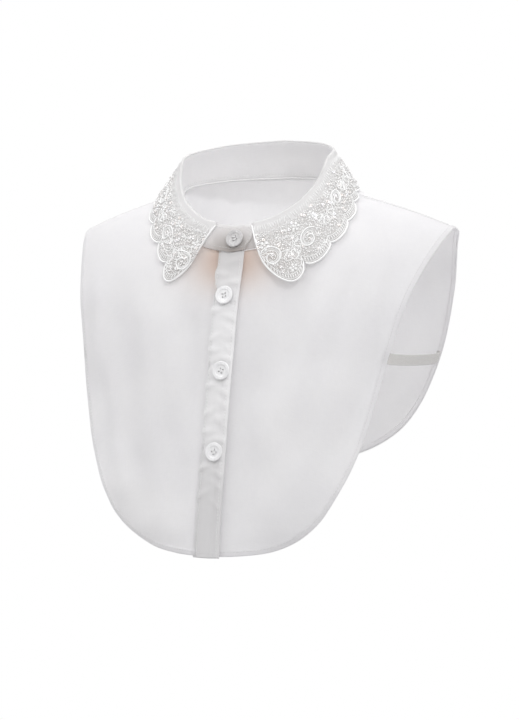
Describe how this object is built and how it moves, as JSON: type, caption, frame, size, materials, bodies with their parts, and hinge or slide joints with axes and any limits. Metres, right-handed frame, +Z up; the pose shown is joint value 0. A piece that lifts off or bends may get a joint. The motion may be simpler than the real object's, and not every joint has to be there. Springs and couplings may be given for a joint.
{
  "type": "lace collar",
  "caption": "Detachable false collar: a sleeveless buttoned half blouse with a stand, a turned-down scalloped lace collar and an elastic strap under each arm.",
  "frame": {"origin": "middle of the neck, at the height where the shoulder seams reach the stand", "axes": "+Z up, -Y the way the wearer faces, +X towards the wearer's left"},
  "size_m": [0.3304, 0.1773, 0.3351],
  "materials": {
    "cotton": "smooth fine white cotton with a faint sheen",
    "lace": "white organza, densely embroidered, corded scalloped edge",
    "elastic": "ribbed knitted elastic, pale grey",
    "button": "pearly, slightly translucent"
  },
  "bodies": {
    "root": {"front_right": "cotton", "front_left": "cotton", "back": "cotton", "button_placket": "cotton", "collar_stand": "cotton", "lace_collar": "lace", "strap_left": "elastic", "strap_right": "elastic", "button_stand": "button", "button_1": "button", "button_2": "button", "button_3": "button"}
  },
  "joints": []
}
